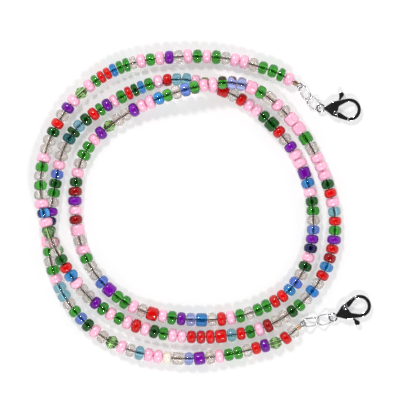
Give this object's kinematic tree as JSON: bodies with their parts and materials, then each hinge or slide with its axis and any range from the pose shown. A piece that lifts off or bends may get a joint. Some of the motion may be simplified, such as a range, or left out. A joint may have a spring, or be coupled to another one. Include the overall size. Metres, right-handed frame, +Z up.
{
  "type": "eyeglass retainer chain",
  "caption": "Beaded eyeglass retainer: a long strand of mixed glass seed beads on a wire, coiled loose, with twisted links and a lobster clasp at each end.",
  "frame": {"origin": "under the middle of the lying coil, on the surface it lies on", "axes": "+Z up out of the surface, +X towards the side where both clasps lie, along the coil's longest extent"},
  "size_m": [0.0962, 0.0902, 0.0087],
  "materials": {
    "wire": "nylon-coated steel beading wire",
    "crimp": "antiqued copper crimp",
    "findings": "bright nickel plate",
    "spring": "spring steel",
    "pink_pearl_beads": "ceylon pearl glass",
    "green_beads": "silver-lined glass",
    "dark_green_beads": "silver-lined glass",
    "red_beads": "silver-lined glass",
    "maroon_beads": "glossy glass",
    "purple_beads": "silver-lined glass",
    "navy_beads": "glossy glass",
    "periwinkle_beads": "glossy glass",
    "lilac_beads": "glossy glass",
    "blue_beads": "silver-lined glass",
    "sky_beads": "glossy glass",
    "teal_beads": "glossy glass",
    "olive_bead": "glossy glass",
    "clear_beads": "clear glass",
    "champagne_beads": "pearl glass",
    "crystal_beads": "faceted pale green glass"
  },
  "bodies": {
    "strand": {"beading_wire": "wire", "pink_pearl_beads": "pink_pearl_beads", "green_beads": "green_beads", "dark_green_beads": "dark_green_beads", "red_beads": "red_beads", "maroon_beads": "maroon_beads", "purple_beads": "purple_beads", "navy_beads": "navy_beads", "periwinkle_beads": "periwinkle_beads", "lilac_beads": "lilac_beads", "blue_beads": "blue_beads", "sky_beads": "sky_beads", "teal_beads": "teal_beads", "olive_bead": "olive_bead", "clear_beads": "clear_beads", "champagne_beads": "champagne_beads", "crystal_beads": "crystal_beads"},
    "end_a": {"wire_end_a": "wire", "crimp_a": "crimp", "wire_loop_a": "wire"},
    "bead_a1": {"bead_a1": "pink_pearl_beads"},
    "bead_a2": {"bead_a2": "green_beads"},
    "bead_a3": {"bead_a3": "green_beads"},
    "bead_a4": {"bead_a4": "green_beads"},
    "bead_a5": {"bead_a5": "clear_beads"},
    "link_1_a": {"chain_link_1_a": "findings"},
    "link_2_a": {"chain_link_2_a": "findings"},
    "clasp_a": {"clasp_body_a": "findings", "clasp_rivet_a": "findings", "clasp_spring_a": "spring"},
    "lever_a": {"clasp_lever_a": "findings"},
    "end_b": {"wire_end_b": "wire", "crimp_b": "crimp", "wire_loop_b": "wire"},
    "bead_b1": {"bead_b1": "clear_beads"},
    "bead_b2": {"bead_b2": "red_beads"},
    "bead_b3": {"bead_b3": "crystal_beads"},
    "bead_b4": {"bead_b4": "purple_beads"},
    "bead_b5": {"bead_b5": "red_beads"},
    "link_1_b": {"chain_link_1_b": "findings"},
    "link_2_b": {"chain_link_2_b": "findings"},
    "clasp_b": {"clasp_body_b": "findings", "clasp_rivet_b": "findings", "clasp_spring_b": "spring"},
    "lever_b": {"clasp_lever_b": "findings"}
  },
  "joints": [
    {"name": "end_a_bend", "type": "hinge", "parent": "strand", "child": "end_a", "pos_m": [0.0137, 0.0409, 0.00305], "axis": [-0.2941, -0.9558, 0], "range_deg": [0, 20]},
    {"name": "bead_a1_spin", "type": "hinge", "parent": "end_a", "child": "bead_a1", "pos_m": [0.02515, 0.03638, 0.00205], "axis": [-0.8643, 0.5029, 0], "continuous": true},
    {"name": "bead_a2_spin", "type": "hinge", "parent": "end_a", "child": "bead_a2", "pos_m": [0.02294, 0.03763, 0.00205], "axis": [-0.8871, 0.4615, 0], "continuous": true},
    {"name": "bead_a3_spin", "type": "hinge", "parent": "end_a", "child": "bead_a3", "pos_m": [0.02057, 0.03871, 0.00205], "axis": [-0.9304, 0.3664, 0], "continuous": true},
    {"name": "bead_a4_spin", "type": "hinge", "parent": "end_a", "child": "bead_a4", "pos_m": [0.01778, 0.03964, 0.00205], "axis": [-0.9558, 0.2941, 0], "continuous": true},
    {"name": "bead_a5_spin", "type": "hinge", "parent": "end_a", "child": "bead_a5", "pos_m": [0.01506, 0.04048, 0.00205], "axis": [-0.9558, 0.2941, 0], "continuous": true},
    {"name": "link_1_a_swing", "type": "hinge", "parent": "end_a", "child": "link_1_a", "pos_m": [0.02851, 0.03442, 0.00205], "axis": [0, 0, 1], "range_deg": [-6, 20]},
    {"name": "link_2_a_swing", "type": "hinge", "parent": "link_1_a", "child": "link_2_a", "pos_m": [0.0308, 0.03086, 0.00121], "axis": [0, 0, 1], "range_deg": [-8, 20]},
    {"name": "clasp_a_swing", "type": "hinge", "parent": "link_2_a", "child": "clasp_a", "pos_m": [0.03399, 0.02819, 0.00121], "axis": [0, 0, 1], "range_deg": [-10, 25]},
    {"name": "lever_a_open", "type": "hinge", "parent": "clasp_a", "child": "lever_a", "pos_m": [0.03834, 0.02676, 0.00121], "axis": [0, 0, 1], "range_deg": [0, 24], "stiffness_Nm_per_rad": 0.001, "springref_deg": -22.92, "deforming": ["clasp_spring_a"]},
    {"name": "end_b_bend", "type": "hinge", "parent": "strand", "child": "end_b", "pos_m": [0.0146, -0.0405, 0.00305], "axis": [0.2631, -0.9648, 0], "range_deg": [0, 20]},
    {"name": "bead_b1_spin", "type": "hinge", "parent": "end_b", "child": "bead_b1", "pos_m": [0.02645, -0.03552, 0.00205], "axis": [0.7628, 0.6467, 0], "continuous": true},
    {"name": "bead_b2_spin", "type": "hinge", "parent": "end_b", "child": "bead_b2", "pos_m": [0.02429, -0.03723, 0.00205], "axis": [0.8349, 0.5503, 0], "continuous": true},
    {"name": "bead_b3_spin", "type": "hinge", "parent": "end_b", "child": "bead_b3", "pos_m": [0.02135, -0.03864, 0.00205], "axis": [0.9509, 0.3096, 0], "continuous": true},
    {"name": "bead_b4_spin", "type": "hinge", "parent": "end_b", "child": "bead_b4", "pos_m": [0.01841, -0.03946, 0.00205], "axis": [0.9648, 0.2631, 0], "continuous": true},
    {"name": "bead_b5_spin", "type": "hinge", "parent": "end_b", "child": "bead_b5", "pos_m": [0.01587, -0.04015, 0.00205], "axis": [0.9648, 0.2631, 0], "continuous": true},
    {"name": "link_1_b_swing", "type": "hinge", "parent": "end_b", "child": "link_1_b", "pos_m": [0.02933, -0.03307, 0.00205], "axis": [0, 0, 1], "range_deg": [-20, 20]},
    {"name": "link_2_b_swing", "type": "hinge", "parent": "link_1_b", "child": "link_2_b", "pos_m": [0.03352, -0.03252, 0.00121], "axis": [0, 0, 1], "range_deg": [-20, 20]},
    {"name": "clasp_b_swing", "type": "hinge", "parent": "link_2_b", "child": "clasp_b", "pos_m": [0.03755, -0.03151, 0.00121], "axis": [0, 0, 1], "range_deg": [-25, 25]},
    {"name": "lever_b_open", "type": "hinge", "parent": "clasp_b", "child": "lever_b", "pos_m": [0.04115, -0.02868, 0.00121], "axis": [0, 0, -1], "range_deg": [0, 24], "stiffness_Nm_per_rad": 0.001, "springref_deg": -22.92, "deforming": ["clasp_spring_b"]}
  ]
}
